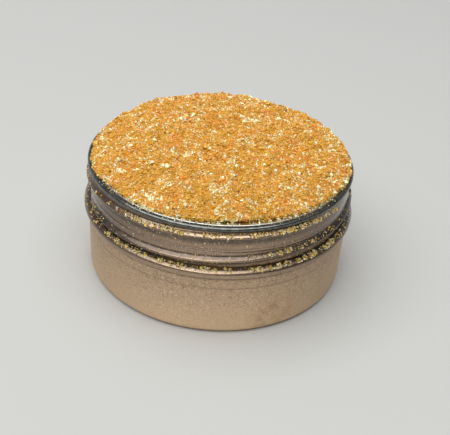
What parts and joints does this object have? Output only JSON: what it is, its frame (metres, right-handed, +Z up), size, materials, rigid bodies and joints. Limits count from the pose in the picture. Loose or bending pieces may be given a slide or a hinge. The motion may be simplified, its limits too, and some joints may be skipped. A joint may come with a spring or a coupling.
{
  "type": "tin of crushed rosin",
  "caption": "Round screw-neck aluminium tin, lid off, packed with crushed amber rosin heaped above the lip, for dusting or recasting as bow rosin.",
  "frame": {"origin": "centre of the tin's flat base, on the surface it stands on", "axes": "+Z up the tin's axis towards the mouth; -Y is the front, where the thread ridge stands 21.6 mm above the base"},
  "size_m": [0.0704, 0.0704, 0.0373],
  "materials": {
    "tin_champagne": "matte champagne anodised, bare and polished on the lip and inside",
    "rosin_amber": "packed crushed resin, clear amber grains with glassy broken faces",
    "rosin_orange": "glassy broken faces, deep orange",
    "rosin_pale": "glassy broken faces, pale straw",
    "rosin_brown": "glassy broken faces, dark brown",
    "rosin_crumb": "dusty crumbs of amber resin"
  },
  "bodies": {
    "tin": {"tin_shell": "tin_champagne", "lip_crumbs": "rosin_crumb", "upper_thread_crumbs": "rosin_crumb", "lower_thread_crumbs": "rosin_crumb", "bead_crumbs": "rosin_crumb"},
    "rosin": {"rosin_charge": "rosin_amber", "amber_grains": "rosin_amber", "orange_lumps": "rosin_orange", "pale_flakes": "rosin_pale", "brown_crumbs": "rosin_brown"}
  },
  "joints": [
    {"name": "rosin_lift", "type": "slide", "parent": "tin", "child": "rosin", "axis": [0, 0, 1], "range_m": [0, 0.032]}
  ]
}
